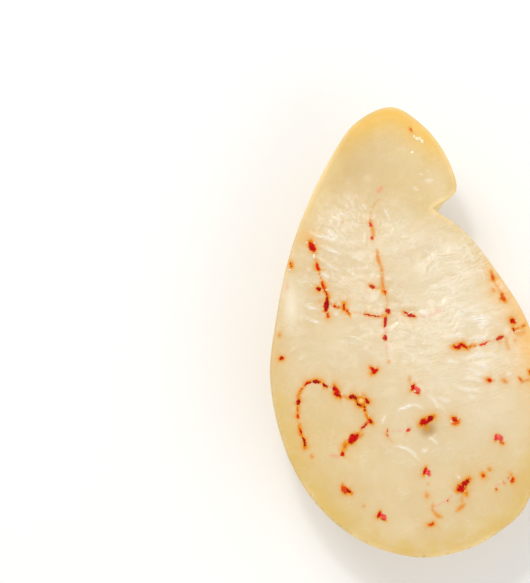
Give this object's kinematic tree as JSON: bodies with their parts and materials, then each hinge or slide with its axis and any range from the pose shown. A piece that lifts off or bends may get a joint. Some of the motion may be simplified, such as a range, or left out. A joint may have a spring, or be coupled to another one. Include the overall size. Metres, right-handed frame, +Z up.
{
  "type": "chili provola cheese half",
  "caption": "Pear-shaped pulled-curd cheese with chili flakes, cut lengthwise into a half that lies on its round rind with the marbled cut face up.",
  "frame": {"origin": "on the table plane, in the small flat spot under the cheese's centre of mass", "axes": "+Z up out of the cut face, +Y from the tail to the head, +X to the side of the neck's notch"},
  "size_m": [0.1111, 0.1806, 0.0538],
  "materials": {
    "cheese": "satin, moist pale cream paste, straw yellow waxy rind",
    "chili": "glossy wet red chili skin",
    "chili_seed": "satin pale gold seed"
  },
  "bodies": {
    "root": {"provola_half": "cheese"}
  },
  "joints": []
}
